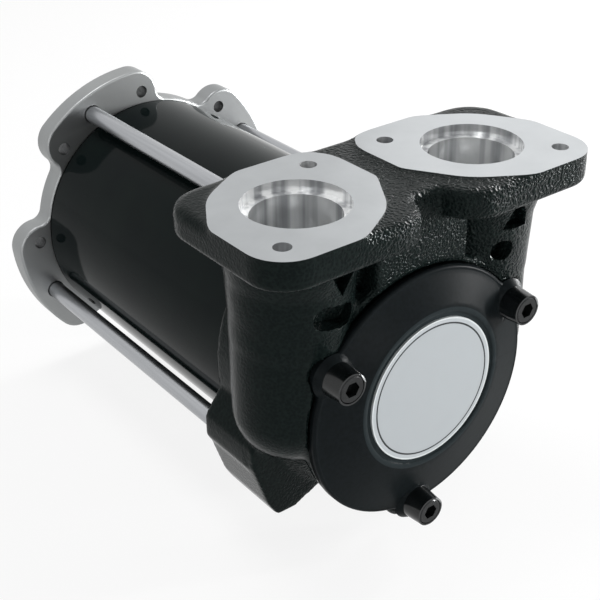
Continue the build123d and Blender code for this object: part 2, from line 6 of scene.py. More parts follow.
# %% Load the frame
import math
import bpy
from mathutils import Matrix, Vector
from mathutils.kdtree import KDTree


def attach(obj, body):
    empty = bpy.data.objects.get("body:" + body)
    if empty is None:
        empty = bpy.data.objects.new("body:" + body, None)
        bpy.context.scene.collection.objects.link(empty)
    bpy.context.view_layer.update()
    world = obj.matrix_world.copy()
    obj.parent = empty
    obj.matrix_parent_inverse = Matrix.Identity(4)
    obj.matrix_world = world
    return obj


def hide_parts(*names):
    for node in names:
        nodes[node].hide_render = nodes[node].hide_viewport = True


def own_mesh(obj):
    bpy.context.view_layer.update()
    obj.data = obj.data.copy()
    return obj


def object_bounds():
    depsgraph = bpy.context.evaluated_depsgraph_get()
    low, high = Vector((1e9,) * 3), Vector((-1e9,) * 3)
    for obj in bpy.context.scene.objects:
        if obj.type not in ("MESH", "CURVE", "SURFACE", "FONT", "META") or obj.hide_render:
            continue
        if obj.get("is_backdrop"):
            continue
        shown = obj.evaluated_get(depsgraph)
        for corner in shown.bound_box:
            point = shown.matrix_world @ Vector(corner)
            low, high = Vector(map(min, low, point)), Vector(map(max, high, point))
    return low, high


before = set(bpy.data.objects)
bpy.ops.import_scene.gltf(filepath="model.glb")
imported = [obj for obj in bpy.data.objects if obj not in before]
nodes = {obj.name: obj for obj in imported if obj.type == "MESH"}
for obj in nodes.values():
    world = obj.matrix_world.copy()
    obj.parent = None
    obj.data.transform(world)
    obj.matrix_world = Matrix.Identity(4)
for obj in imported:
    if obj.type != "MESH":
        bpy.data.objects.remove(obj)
cad_low, cad_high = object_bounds()
MM = 0.001
print("CAD box in mm", [round(v / MM, 1) for v in (cad_high - cad_low)])

# %% [markdown]
# The photograph was taken from the front left and from above, with a fairly long lens. The camera
# was found by fitting the round faces and bolt holes, so it is given as a place and three angles.

# %% Camera
PHOTO_PIXELS, FOCAL_PIXELS = 600, 1207.06
SENSOR_WIDE = 36.0
turn, tilt, roll = (math.radians(v) for v in (-37.03, 29.96, -0.81))
eye = Vector((-243.94, -442.64, 235.22)) * MM
back = Vector((math.sin(turn) * math.cos(tilt), -math.cos(turn) * math.cos(tilt), math.sin(tilt)))
level = (-back).cross(Vector((0, 0, 1))).normalized()
upward = level.cross(-back)
right = level * math.cos(roll) + upward * math.sin(roll)
above = upward * math.cos(roll) - level * math.sin(roll)
lens = bpy.data.cameras.new("photo_lens")
lens.sensor_width = SENSOR_WIDE
lens.lens = SENSOR_WIDE * FOCAL_PIXELS / PHOTO_PIXELS
lens.clip_start, lens.clip_end = 0.01, 20.0
camera = bpy.data.objects.new("photo_camera", lens)
place = Matrix((right, above, back)).transposed().to_4x4()
place.translation = eye
camera.matrix_world = place
bpy.context.scene.collection.objects.link(camera)
bpy.context.scene.camera = camera
print("lens in mm", round(lens.lens, 2))

# %% [markdown]
# Every finish below is a small network of nodes. Three helpers keep it readable: one turns the
# colour codes that designers use into the linear numbers that Blender mixes, one adds a node, and
# one starts a material with nothing in it but its shader.

# %% Helpers for finishes
def colour(code):
    """Linear colour of an sRGB hex code."""
    parts = [int(code[i:i + 2], 16) / 255 for i in (1, 3, 5)]
    linear = [c / 12.92 if c <= 0.04045 else ((c + 0.055) / 1.055) ** 2.4 for c in parts]
    return tuple(linear) + (1.0,)


def add(tree, kind, settings=None, inputs=None, stops=()):
    """Adds a node. An input that is a socket is linked, and any other value is set. The stops of a
    colour ramp are places from 0 to 1, each with its hex code."""
    made = tree.nodes.new(kind)
    for name, value in (settings or {}).items():
        setattr(made, name, value)
    for name, value in (inputs or {}).items():
        if isinstance(value, bpy.types.NodeSocket):
            tree.links.new(value, made.inputs[name])
        else:
            made.inputs[name].default_value = value
    for count, (where, code) in enumerate(stops):
        points = made.color_ramp.elements
        point = points[count] if count < len(points) else points.new(where)
        point.position, point.color = where, colour(code)
    return made


def finish_named(name, **sockets):
    """A new material with a bare shader, the shader's plain sockets set."""
    material = bpy.data.materials.new(name)
    material.use_nodes = True
    tree = material.node_tree
    tree.nodes.clear()
    shader = add(tree, "ShaderNodeBsdfPrincipled")
    for socket, value in sockets.items():
        shader.inputs[socket.replace("_", " ")].default_value = value
    output = add(tree, "ShaderNodeOutputMaterial")
    tree.links.new(shader.outputs["BSDF"], output.inputs["Surface"])
    place_on_object = add(tree, "ShaderNodeTexCoord").outputs["Object"]
    return material, tree, shader, place_on_object


# %% [markdown]
# The pump body is grey cast iron under near-black enamel. Sand casting and thick paint leave a
# leathery grain about a millimetre across, which is what the light picks out. A cell pattern
# smeared by a slower noise gives those soft lumps, and a bump turns them into relief. The paint
# lies thicker on the left column and hides most of the grain there, so the relief gets deeper
# from there to the web.

# %% Enamelled cast iron
GRAIN, SMEAR = 1.0 * MM, 0.0011
COLUMN_SIDE_X, WEB_SIDE_X = -46 * MM, -14 * MM
COLUMN_RELIEF, WEB_RELIEF = 0.09 * MM, 0.6 * MM
enamel, tree, shader, where = finish_named("enamelled cast iron", Roughness=0.14, IOR=1.5,
                                           Specular_IOR_Level=0.065,
                                           Specular_Tint=(0.85, 1.0, 0.97, 1.0))
drift = add(tree, "ShaderNodeTexNoise",
            inputs={"Vector": where, "Scale": 0.35 / GRAIN, "Detail": 2.0})
pushed = add(tree, "ShaderNodeMixRGB", inputs={0: SMEAR, 1: where, 2: drift.outputs["Color"]})
cells = add(tree, "ShaderNodeTexVoronoi", {"feature": "SMOOTH_F1"},
            {"Vector": pushed.outputs[0], "Scale": 1.0 / GRAIN, "Smoothness": 0.6})
fine = add(tree, "ShaderNodeTexNoise",
           inputs={"Vector": where, "Scale": 2.2 / GRAIN, "Detail": 3.0})
relief = add(tree, "ShaderNodeMath", {"operation": "MULTIPLY_ADD"},
             {0: fine.outputs["Fac"], 1: 0.35, 2: cells.outputs["Distance"]})
split = add(tree, "ShaderNodeSeparateXYZ", inputs={"Vector": where})
depth = add(tree, "ShaderNodeMapRange",
            inputs={"Value": split.outputs["X"], "From Min": COLUMN_SIDE_X, "From Max": WEB_SIDE_X,
                    "To Min": COLUMN_RELIEF, "To Max": WEB_RELIEF})
grain = add(tree, "ShaderNodeBump", inputs={"Height": relief.outputs[0], "Strength": 1.0,
                                            "Distance": depth.outputs["Result"]})
tree.links.new(grain.outputs["Normal"], shader.inputs["Normal"])
tone = add(tree, "ShaderNodeValToRGB", inputs={"Fac": cells.outputs["Distance"]},
           stops=((0.3, "#0a1010"), (0.7, "#121918")))
tree.links.new(tone.outputs["Color"], shader.inputs["Base Color"])

# %% [markdown]
# The pipe flanges' faces are the same iron with the skin cut off by a milling cutter. The cut
# metal is pale, and shows faint marks where the tool has turned.

# %% Machined iron
TOOL_FEED, CLOUD = 0.45 * MM, 10.0 * MM
machined, tree, shader, where = finish_named("machined cast iron", Metallic=1.0)
cloud = add(tree, "ShaderNodeTexNoise",
            inputs={"Vector": where, "Scale": 0.9 / CLOUD, "Detail": 4.0})
feed = add(tree, "ShaderNodeTexNoise",
           inputs={"Vector": where, "Scale": 0.5 / TOOL_FEED, "Detail": 1.0})
tone = add(tree, "ShaderNodeValToRGB", inputs={"Fac": cloud.outputs["Fac"]},
           stops=((0.3, "#a4a7a9"), (0.7, "#abaeb0")))
tree.links.new(tone.outputs["Color"], shader.inputs["Base Color"])
gloss = add(tree, "ShaderNodeMapRange",
            inputs={"Value": cloud.outputs["Fac"], "To Min": 0.31, "To Max": 0.35})
tree.links.new(gloss.outputs["Result"], shader.inputs["Roughness"])
marks = add(tree, "ShaderNodeBump",
            inputs={"Height": feed.outputs["Fac"], "Strength": 0.03, "Distance": 0.03 * MM})
tree.links.new(marks.outputs["Normal"], shader.inputs["Normal"])

# %% [markdown]
# The walls of the bores were turned, not milled, with fine rings one below the other. Squeezing the
# noise along Z gives the rings. The walls are painted brighter, with pale upright bands of painted
# reflection from a second noise stretched along Z. The walls of the tapped holes are painted dark,
# as painted shade.

# %% Bored iron and tapped holes
RING_PITCH, REFLECTION_STREAK_WIDTH = 0.6 * MM, 4.0 * MM
bored, tree, shader, where = finish_named("bored cast iron", Metallic=0.6, Roughness=0.2)
flat = add(tree, "ShaderNodeMapping", inputs={"Vector": where, "Scale": (0.03, 0.03, 1.0)})
rings = add(tree, "ShaderNodeTexNoise",
            inputs={"Vector": flat.outputs["Vector"], "Scale": 1.0 / RING_PITCH, "Detail": 1.0})
upright = add(tree, "ShaderNodeMapping", inputs={"Vector": where, "Scale": (1.0, 1.0, 0.02)})
reflection_streaks = add(tree, "ShaderNodeTexNoise",
              inputs={"Vector": upright.outputs["Vector"], "Scale": 1.0 / REFLECTION_STREAK_WIDTH,
                      "Detail": 2.0})
# Brighter base and pale upright bands: painted reflection on the bore walls.
tone = add(tree, "ShaderNodeValToRGB", inputs={"Fac": reflection_streaks.outputs["Fac"]},
           stops=((0.4, "#b2b4b6"), (0.6, "#f4f5f5")))
tree.links.new(tone.outputs["Color"], shader.inputs["Base Color"])
turned = add(tree, "ShaderNodeBump",
             inputs={"Height": rings.outputs["Fac"], "Strength": 0.1, "Distance": 0.05 * MM})
tree.links.new(turned.outputs["Normal"], shader.inputs["Normal"])

THREAD_PITCH = 1.0 * MM
# The dark colour of the hole walls is painted shade.
tapped, tree, shader, where = finish_named("tapped hole in painted shade", Metallic=0.8, Roughness=0.4)
thread = add(tree, "ShaderNodeTexNoise",
             inputs={"Vector": where, "Scale": 1.0 / THREAD_PITCH, "Detail": 2.0})
tone = add(tree, "ShaderNodeValToRGB", inputs={"Fac": thread.outputs["Fac"]},
           stops=((0.3, "#3a3c3d"), (0.7, "#5a5c5d")))
tree.links.new(tone.outputs["Color"], shader.inputs["Base Color"])

# %% [markdown]
# The cover is a smooth casting sprayed satin black. Its paint is softer in gloss than the body's
# and nearly flat, with only a trace of orange peel. Round the label, inside the seat ring, the
# colour is greyer. The distance from the shaft axis tells the two apart.

# %% Satin black paint
SEAT_RING_R, PEEL = 31.0 * MM, 1.0 * MM
satin, tree, shader, where = finish_named("satin black paint", Roughness=0.36, IOR=1.5,
                                          Specular_IOR_Level=0.03)
peel = add(tree, "ShaderNodeTexNoise", inputs={"Vector": where, "Scale": 0.7 / PEEL, "Detail": 2.0})
across = add(tree, "ShaderNodeVectorMath", {"operation": "MULTIPLY"},
             {0: where, 1: (1.0, 0.0, 1.0)})
radius = add(tree, "ShaderNodeVectorMath", {"operation": "LENGTH"}, {0: across.outputs[0]})
outside = add(tree, "ShaderNodeMath", {"operation": "GREATER_THAN"},
              {0: radius.outputs["Value"], 1: SEAT_RING_R})
black = add(tree, "ShaderNodeValToRGB", inputs={"Fac": peel.outputs["Fac"]},
            stops=((0.3, "#111516"), (0.7, "#15191b")))
# Inside the seat ring the colour is greyer.
greyer_round_label = add(tree, "ShaderNodeMixRGB",
           inputs={0: outside.outputs[0], 1: colour("#23292b"), 2: black.outputs["Color"]})
tree.links.new(greyer_round_label.outputs[0], shader.inputs["Base Color"])
skin = add(tree, "ShaderNodeBump",
           inputs={"Height": peel.outputs["Fac"], "Strength": 0.12, "Distance": 0.1 * MM})
tree.links.new(skin.outputs["Normal"], shader.inputs["Normal"])

# %% [markdown]
# The motor tube is rolled steel under a glossy black-green stove enamel. It is smooth enough to
# mirror the flange and the rods, with a very slight waviness from spraying. At the flange the
# enamel stops at a thin, dull black band, which stands for sealant in the joint and is painted
# shadow there too.

# %% Gloss enamel on rolled steel
SEAM_Y, SEAM_WIDE, RIPPLE = -8.6 * MM, 0.9 * MM, 10.0 * MM
tube_paint, tree, shader, where = finish_named("gloss enamel on rolled steel", IOR=1.5,
                                               Specular_IOR_Level=0.05)
wave = add(tree, "ShaderNodeTexNoise",
           inputs={"Vector": where, "Scale": 0.6 / RIPPLE, "Detail": 2.0})
split = add(tree, "ShaderNodeSeparateXYZ", inputs={"Vector": where})
# A dull black band at the seam: sealant, and painted shadow in the joint.
at_seam = add(tree, "ShaderNodeMath", {"operation": "GREATER_THAN"},
              {0: split.outputs["Y"], 1: SEAM_Y - SEAM_WIDE})
green = add(tree, "ShaderNodeValToRGB", inputs={"Fac": wave.outputs["Fac"]},
            stops=((0.3, "#0c1314"), (0.7, "#101817")))
sealant_and_seam_shadow = add(tree, "ShaderNodeMixRGB",
             inputs={0: at_seam.outputs[0], 1: green.outputs["Color"], 2: colour("#020202")})
tree.links.new(sealant_and_seam_shadow.outputs[0], shader.inputs["Base Color"])
dull = add(tree, "ShaderNodeMapRange",
           inputs={"Value": at_seam.outputs[0], "To Min": 0.08, "To Max": 0.9})
tree.links.new(dull.outputs["Result"], shader.inputs["Roughness"])
orange_peel = add(tree, "ShaderNodeBump",
                  inputs={"Height": wave.outputs["Fac"], "Strength": 0.05, "Distance": 0.4 * MM})
tree.links.new(orange_peel.outputs["Normal"], shader.inputs["Normal"])

# %% [markdown]
# The flange is an aluminium die casting, blasted after casting. That leaves a dull, even grey with
# a grain far finer than the iron's.

# %% Blasted cast aluminium
GRIT = 0.5 * MM
flange_metal, tree, shader, where = finish_named("blasted cast aluminium", Metallic=1.0)
grit = add(tree, "ShaderNodeTexNoise", inputs={"Vector": where, "Scale": 0.7 / GRIT, "Detail": 3.0})
cloud = add(tree, "ShaderNodeTexNoise",
            inputs={"Vector": where, "Scale": 0.35 / CLOUD, "Detail": 3.0})
tone = add(tree, "ShaderNodeValToRGB", inputs={"Fac": cloud.outputs["Fac"]},
           stops=((0.3, "#8b8d8e"), (0.7, "#979999")))
tree.links.new(tone.outputs["Color"], shader.inputs["Base Color"])
gloss = add(tree, "ShaderNodeMapRange",
            inputs={"Value": grit.outputs["Fac"], "To Min": 0.38, "To Max": 0.5})
tree.links.new(gloss.outputs["Result"], shader.inputs["Roughness"])
pits = add(tree, "ShaderNodeBump",
           inputs={"Height": grit.outputs["Fac"], "Strength": 0.18, "Distance": 0.1 * MM})
tree.links.new(pits.outputs["Normal"], shader.inputs["Normal"])

# %% [markdown]
# The rods are bright drawn steel: drawing leaves hair-fine lines along the bar, so the noise is
# stretched along the rod. Real lines are finer than this, and wouldn't show.

# %% Bright drawn steel
DRAWN_LINE = 1.0 * MM
drawn, tree, shader, where = finish_named("bright drawn steel", Metallic=1.0)
along = add(tree, "ShaderNodeMapping", inputs={"Vector": where, "Scale": (1.0, 0.02, 1.0)})
lines = add(tree, "ShaderNodeTexNoise",
            inputs={"Vector": along.outputs["Vector"], "Scale": 0.9 / DRAWN_LINE, "Detail": 2.0})
tone = add(tree, "ShaderNodeValToRGB", inputs={"Fac": lines.outputs["Fac"]},
           stops=((0.3, "#a0a2a5"), (0.7, "#acaeb1")))
tree.links.new(tone.outputs["Color"], shader.inputs["Base Color"])
gloss = add(tree, "ShaderNodeMapRange",
            inputs={"Value": lines.outputs["Fac"], "To Min": 0.26, "To Max": 0.34})
tree.links.new(gloss.outputs["Result"], shader.inputs["Roughness"])

# %% [markdown]
# The cap screws are blackened steel. The oxide is thin and slightly oily, so it is darker and
# glossier than paint.

# %% Blackened steel
OIL_FILM = 2.5 * MM
blackened, tree, shader, where = finish_named("blackened steel", Metallic=0.5)
oil = add(tree, "ShaderNodeTexNoise",
          inputs={"Vector": where, "Scale": 1.0 / OIL_FILM, "Detail": 3.0})
tone = add(tree, "ShaderNodeValToRGB", inputs={"Fac": oil.outputs["Fac"]},
           stops=((0.3, "#141516"), (0.7, "#1e2021")))
tree.links.new(tone.outputs["Color"], shader.inputs["Base Color"])
gloss = add(tree, "ShaderNodeMapRange",
            inputs={"Value": oil.outputs["Fac"], "To Min": 0.2, "To Max": 0.32})
tree.links.new(gloss.outputs["Result"], shader.inputs["Roughness"])

# %% [markdown]
# The label is a thin aluminium disc with a satin print: silver, a fine dark ring near the edge and
# a bare bright edge. The rings are printed true to the disc, so the colour is a ramp of steps over
# the distance from its centre.

# %% Printed aluminium
LABEL_R, DARK_RING_R, PALE_RING_R, EDGE_R = 27.3, 24.8, 25.4, 26.75
label_metal, tree, shader, where = finish_named("satin printed aluminium", Roughness=0.38,
                                                Metallic=0.3)
across = add(tree, "ShaderNodeVectorMath", {"operation": "MULTIPLY"},
             {0: where, 1: (1.0, 0.0, 1.0)})
radius = add(tree, "ShaderNodeVectorMath", {"operation": "LENGTH"}, {0: across.outputs[0]})
share = add(tree, "ShaderNodeMath", {"operation": "DIVIDE"},
            {0: radius.outputs["Value"], 1: LABEL_R * MM})
print_rings = add(tree, "ShaderNodeValToRGB", inputs={"Fac": share.outputs[0]},
                  stops=((0.0, "#a2a7aa"), (DARK_RING_R / LABEL_R, "#1c2022"),
                         (PALE_RING_R / LABEL_R, "#a8adb0"), (EDGE_R / LABEL_R, "#c4c9ca")))
print_rings.color_ramp.interpolation = "CONSTANT"
tree.links.new(print_rings.outputs["Color"], shader.inputs["Base Color"])
print("label rings", len(print_rings.color_ramp.elements))

# %% [markdown]
# The pump body is the piece that shows most. It is an iron casting: sand rounds every edge and
# fills every corner a little, and afterwards cutters make the few places that must be true, which
# are left sharp and bare. The CAD solid has the shape but not that difference. So the casting is
# made the way a foundry makes it. A copy of the solid has its bores plugged and extra metal left on
# the port faces, a voxel remesh and a smoothing round it all over, and then each cutter goes in.

# %% Workshop helpers
def empty_hands():
    """Object mode, with nothing selected."""
    if bpy.context.object and bpy.context.object.mode != "OBJECT":
        bpy.ops.object.mode_set(mode="OBJECT")
    bpy.ops.object.select_all(action="DESELECT")


def take_up(piece):
    """Selects one piece and nothing else."""
    empty_hands()
    piece.select_set(True)
    bpy.context.view_layer.objects.active = piece


def copied(name, source):
    """A merged copy of a CAD solid, selected and active."""
    piece = bpy.data.objects.new(name, source.data.copy())
    piece.data.materials.clear()
    bpy.context.scene.collection.objects.link(piece)
    take_up(piece)
    bpy.ops.object.mode_set(mode="EDIT")
    bpy.ops.mesh.select_all(action="SELECT")
    bpy.ops.mesh.remove_doubles(threshold=0.005 * MM)
    bpy.ops.object.mode_set(mode="OBJECT")
    return piece


def apply_modifier(work, kind, **settings):
    """Adds a modifier to a piece and applies it at once."""
    modifier = work.modifiers.new(kind.lower(), kind)
    for name, value in settings.items():
        setattr(modifier, name, value)
    bpy.context.view_layer.objects.active = work
    bpy.ops.object.modifier_apply(modifier=modifier.name)


def combine(work, tool, operation="DIFFERENCE"):
    """Cuts the tool's shape out of the work, or welds it on, and throws the tool away."""
    apply_modifier(work, "BOOLEAN", operation=operation, solver="MANIFOLD", object=tool)
    bpy.data.objects.remove(tool)


def coat(piece, degrees, *finishes):
    """Gives a piece its finishes in this order, and keeps only edges beyond the angle crisp."""
    piece.data.materials.clear()
    for finish in finishes:
        piece.data.materials.append(finish)
    take_up(piece)
    bpy.ops.object.shade_smooth_by_angle(angle=math.radians(degrees))


# %% [markdown]
# Only two kinds of tool are needed. A bar is a drill, a boring tool or a countersink, and as easily
# a plug. A prism is a milled pocket with an outline of any shape that bulges outwards everywhere.

# %% Bars and prisms
def bar(radius, start, end, sides=96, end_radius=None):
    """A round bar between two points in mm, tapered where the end has a radius of its own."""
    a, b = Vector(start) * MM, Vector(end) * MM
    empty_hands()
    bpy.ops.mesh.primitive_cone_add(vertices=sides, radius1=radius * MM,
                                    radius2=(end_radius or radius) * MM,
                                    depth=(b - a).length, location=(a + b) / 2,
                                    rotation=(b - a).to_track_quat("Z", "Y").to_euler())
    bpy.ops.object.transform_apply(location=True, rotation=True, scale=True)
    return bpy.context.object


def turn_of(x, z):
    """The angle of a point seen from the centre, so that points sort round an outline."""
    return (math.atan2(z, x) + 2 * math.pi + 0.01) % (2 * math.pi)


def prism(corners, back_y, front_y):
    """A straight block along Y over a convex outline, whose corners are x and z in mm."""
    empty_hands()
    bpy.ops.mesh.primitive_cylinder_add(vertices=len(corners), radius=MM,
                                        depth=(back_y - front_y) * MM, rotation=(math.pi / 2, 0, 0))
    bpy.ops.object.transform_apply(location=True, rotation=True, scale=True)
    block = bpy.context.object
    centre = [sum(c[i] for c in corners) / len(corners) for i in (0, 1)]
    outline = sorted(corners, key=lambda c: turn_of(c[0] - centre[0], c[1] - centre[1]))
    ring = sorted(block.data.vertices, key=lambda v: turn_of(v.co.x, v.co.z))
    for count, vertex in enumerate(ring):
        vertex.co.x, vertex.co.z = (v * MM for v in outline[count // 2])
        vertex.co.y += (back_y + front_y) / 2 * MM
    return block


def slot_outline(x, z, length, width, degrees, steps=10):
    """Corners of a slot with round ends, turned about its centre."""
    a = math.radians(degrees)
    points = []
    for end in (1, -1):
        for k in range(steps + 1):
            t = math.pi * (k / steps - 0.5) + (0 if end == 1 else math.pi)
            u = end * (length - width) / 2 + width / 2 * math.cos(t)
            v = width / 2 * math.sin(t)
            points.append((x + u * math.cos(a) - v * math.sin(a),
                           z + u * math.sin(a) + v * math.cos(a)))
    return points


def round_about(radius, angle, y, z=0.0):
    """A point on a circle round the shaft axis, in mm."""
    a = math.radians(angle)
    return (radius * math.cos(a), y, radius * math.sin(a) + z)


# %% [markdown]
# The cutters need true places, so the sizes of the CAD solid are repeated here. Each pocket beside
# the web ends just in front of the port behind it, so that a wall is left between them.

# %% Sizes of the casting, in mm
REAR_Y, PORT_Y, JOINT_Y = -136.6, -168.6, -186.1
PORT_X, FACE_Z, DECK_Z, PLATE_UNDERSIDE_Z = 38.2, 72.8, 69.4, 62.0
MOUTH_R, MOUTH_DEEP = 18.0, 4.0
BORE_R, BORE_DEEP = 15.15, 18.0
PASSAGE_R, PASSAGE_Z, CONE_DEEP = 12.6, 38.0, 2.2
PORT_BOLT_R, PORT_HOLE_R, PORT_HOLE_DEEP = 30.1, 3.0, 20.0
CHAMBER_R, CHAMBER_DEEP, CHAMBER_Z = 34.0, 22.0, -4.0
BEARING_R, SEAL_R, SHAFT_HOLE_R = 17.5, 15.0, 8.5
VALVE_Z, VALVE_PLUG_R, VALVE_R, VALVE_SEAT_R = 59.2, 7.0, 6.0, 4.2
ROD_CIRCLE_R, ROD_ANGLE, ROD_R, ROD_HOLE_DEEP = 56.2, 25.5, 3.6, 15.0
SCREW_CIRCLE_R, SCREW_ANGLES, SCREW_R, SCREW_HOLE_DEEP = 46.0, (30, 150, 267), 3.0, 18.0
COLUMN_X, COLUMN_Y, COLUMN_R, NECK_R, NECK_Z = 40.9, -168.3, 20.4, 22.4, 26.0
SLOT_FLOOR_Y, NOTCH_FLOOR_Y = JOINT_Y + 3.4, JOINT_Y + 1.4
EXTRA_METAL = 3.0

# %% The places that cutters reach, each as a radius and two ends
port_cuts, bolt_cuts = [], []
for side in (-1, 1):
    x, clear_z = side * PORT_X, FACE_Z + 2 * EXTRA_METAL
    for radius, depth in ((MOUTH_R, MOUTH_DEEP), (BORE_R, BORE_DEEP),
                          (PASSAGE_R, FACE_Z - PASSAGE_Z)):
        port_cuts.append((radius, (x, PORT_Y, FACE_Z - depth), (x, PORT_Y, clear_z)))
    port_cuts.append((BORE_R, (x, PORT_Y, FACE_Z - BORE_DEEP),
                      (x, PORT_Y, FACE_Z - BORE_DEEP - CONE_DEEP)))
    for k in (-1, 1):
        reach = PORT_BOLT_R / math.sqrt(2)
        spot = (x - side * k * reach, PORT_Y + k * reach)
        bolt_cuts.append((PORT_HOLE_R, spot + (FACE_Z - PORT_HOLE_DEEP,), spot + (clear_z,)))
hidden_cuts = [(CHAMBER_R, (0, JOINT_Y + CHAMBER_DEEP, CHAMBER_Z), (0, JOINT_Y - 1, CHAMBER_Z)),
               (BEARING_R, (0, REAR_Y + 5, 0), (0, REAR_Y - 15, 0)),
               (SEAL_R, (0, REAR_Y - 14.9, 0), (0, REAR_Y - 23, 0)),
               (SHAFT_HOLE_R, (0, REAR_Y - 22.9, 0), (0, JOINT_Y + CHAMBER_DEEP - 1, 0)),
               (VALVE_PLUG_R, (0, REAR_Y + 1, VALVE_Z), (0, REAR_Y - 10, VALVE_Z)),
               (VALVE_R, (0, REAR_Y - 9.9, VALVE_Z), (0, PORT_Y - 4, VALVE_Z)),
               (VALVE_SEAT_R, (0, PORT_Y - 3.9, VALVE_Z), (0, PORT_Y - 14, VALVE_Z))]
for angle in (ROD_ANGLE + 90 * k for k in range(4)):
    hidden_cuts.append((ROD_R, round_about(ROD_CIRCLE_R, angle, REAR_Y + 1),
                        round_about(ROD_CIRCLE_R, angle, REAR_Y - ROD_HOLE_DEEP)))
for angle in SCREW_ANGLES:
    hidden_cuts.append((SCREW_R + 0.02,
                        round_about(SCREW_CIRCLE_R, angle, JOINT_Y + SCREW_HOLE_DEEP, CHAMBER_Z),
                        round_about(SCREW_CIRCLE_R, angle, JOINT_Y - 1, CHAMBER_Z)))
all_cuts = port_cuts + bolt_cuts + hidden_cuts
pockets = [(SLOT_FLOOR_Y, slot_outline(-38.6, 40.7, 17.5, 8.0, -12)),
           (SLOT_FLOOR_Y, slot_outline(35.8, 40.0, 8.6, 7.4, -12)),
           (NOTCH_FLOOR_Y, [(-36.0, 47.6), (-30.4, 58.0), (-42.6, 58.0)]),
           (NOTCH_FLOOR_Y, [(34.9, 48.3), (46.0, 47.4), (42.6, 55.5), (38.4, 57.5)])]
print("cuts", len(all_cuts), "pockets", len(pockets))

# %% [markdown]
# First the pattern: the copy, with plugs a little wider than the bores and the port faces raised.
# Two tapered bars fill out the columns towards their necks.

# %% Plug the bores and leave extra metal
PLUG_SPARE = 0.4
casting = copied("pump_casting", nodes["pump_body"])
for face in casting.data.polygons:
    face.select = face.normal.z > 0.99 and abs(face.center.z - FACE_Z * MM) < 0.05 * MM
bpy.ops.object.mode_set(mode="EDIT")
bpy.ops.mesh.select_mode(type="FACE")
bpy.ops.mesh.extrude_region_move(TRANSFORM_OT_translate={"value": (0, 0, EXTRA_METAL * MM)})
bpy.ops.object.mode_set(mode="OBJECT")
plugs = []
for radius, low_end, high_end in all_cuts:
    low, top = Vector(low_end), Vector(high_end)
    top.z = min(top.z, FACE_Z + EXTRA_METAL)
    if (radius, low_end, high_end) in bolt_cuts:
        low.z = PLATE_UNDERSIDE_Z + 0.5
    plugs.append(bar(radius + PLUG_SPARE, low, top, 48))
for side in (-1, 1):
    plugs.append(bar(COLUMN_R, (side * COLUMN_X, COLUMN_Y, NECK_Z),
                     (side * COLUMN_X, COLUMN_Y, PLATE_UNDERSIDE_Z + 1), 64, NECK_R))
take_up(casting)
for plug in plugs:
    plug.select_set(True)
bpy.ops.object.join()
print("pattern faces", len(casting.data.polygons))

# %% [markdown]
# The remesh turns everything into one skin of small squares. Smoothing that skin rounds edges and
# fills corners alike, which is just what sand and paint do. The step from the deck up to each port
# face has a wider fillet, so the points there are put in a group and smoothed again.

# %% Cast it
VOXEL, CAST_SMOOTHING = 0.9, 8
CORNER_REACH, CORNER_SMOOTHING = 2.6, 40
apply_modifier(casting, "REMESH", mode="VOXEL", voxel_size=VOXEL * MM)
apply_modifier(casting, "SMOOTH", factor=0.5, iterations=CAST_SMOOTHING)
walls = [v for v in casting.data.vertices if DECK_Z + 0.5 < v.co.z / MM < FACE_Z - 0.6]
near_wall = KDTree(len(walls))
for count, vertex in enumerate(walls):
    near_wall.insert(vertex.co, count)
near_wall.balance()
corner = casting.vertex_groups.new(name="foot_of_the_faces")
corner.add([v.index for v in casting.data.vertices if DECK_Z - 0.5 < v.co.z / MM < FACE_Z - 0.4
            and near_wall.find(v.co)[2] < CORNER_REACH * MM], 1.0, "REPLACE")
apply_modifier(casting, "SMOOTH", factor=0.5, iterations=CORNER_SMOOTHING,
               vertex_group="foot_of_the_faces")
print("cast faces", len(casting.data.polygons))

# %% [markdown]
# Then the machining: one wide cutter planes the port faces to height, and the rest sink into the
# casting. A swollen copy of the cover is the last cutter, so that the cover sits in a clean seat.

# %% Machine it
SLAB_R, SLAB_THICK, SEAT_SPARE = 140.0, 20, 0.4
combine(casting, bar(SLAB_R, (0, PORT_Y, FACE_Z), (0, PORT_Y, FACE_Z + SLAB_THICK)))
for radius, low_end, high_end in all_cuts:
    is_cone = high_end[2] < low_end[2] and low_end[1] == high_end[1]
    combine(casting, bar(radius, low_end, high_end, end_radius=PASSAGE_R if is_cone else None))
for floor_y, corners in pockets:
    combine(casting, prism(corners, floor_y, JOINT_Y - 8))
seat = copied("cover_seat", nodes["front_cover"])
bpy.ops.object.mode_set(mode="EDIT")
bpy.ops.mesh.select_all(action="SELECT")
bpy.ops.transform.shrink_fatten(value=SEAT_SPARE * MM)
bpy.ops.object.mode_set(mode="OBJECT")
combine(casting, seat)
print("machined faces", len(casting.data.polygons))

# %% [markdown]
# Paint covers the casting before it is machined, so the cut faces are bare. They are found by their
# place: level faces at the port height, and walls within the radius of a bore. Level faces are
# shaded flat, because a shared normal at their edges would bend the light on them.

# %% Bare metal where the cutters went
NEAR = 0.05


def near_bore(point, cuts):
    """True on the wall or floor of a bore that stands upright."""
    for radius, low_end, high_end in cuts:
        away = math.hypot(point.x - low_end[0] * MM, point.y - low_end[1] * MM)
        floor_z = min(low_end[2], high_end[2]) - 2 * NEAR
        if away < (radius + NEAR) * MM and point.z > floor_z * MM:
            return True
    return False


coat(casting, 32, enamel, machined, bored)
for face in casting.data.polygons:
    if abs(face.center.z - FACE_Z * MM) < 0.02 * MM and face.normal.z > 0.99:
        face.material_index = 1
    elif near_bore(face.center, port_cuts + bolt_cuts):
        face.material_index = 2
    if face.material_index and abs(face.normal.z) > 0.99:
        face.use_smooth = False
apply_modifier(casting, "WEIGHTED_NORMAL", keep_sharp=True, weight=80)
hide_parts("pump_body")
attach(casting, "housing")
print("bare faces", sum(f.material_index > 0 for f in casting.data.polygons))
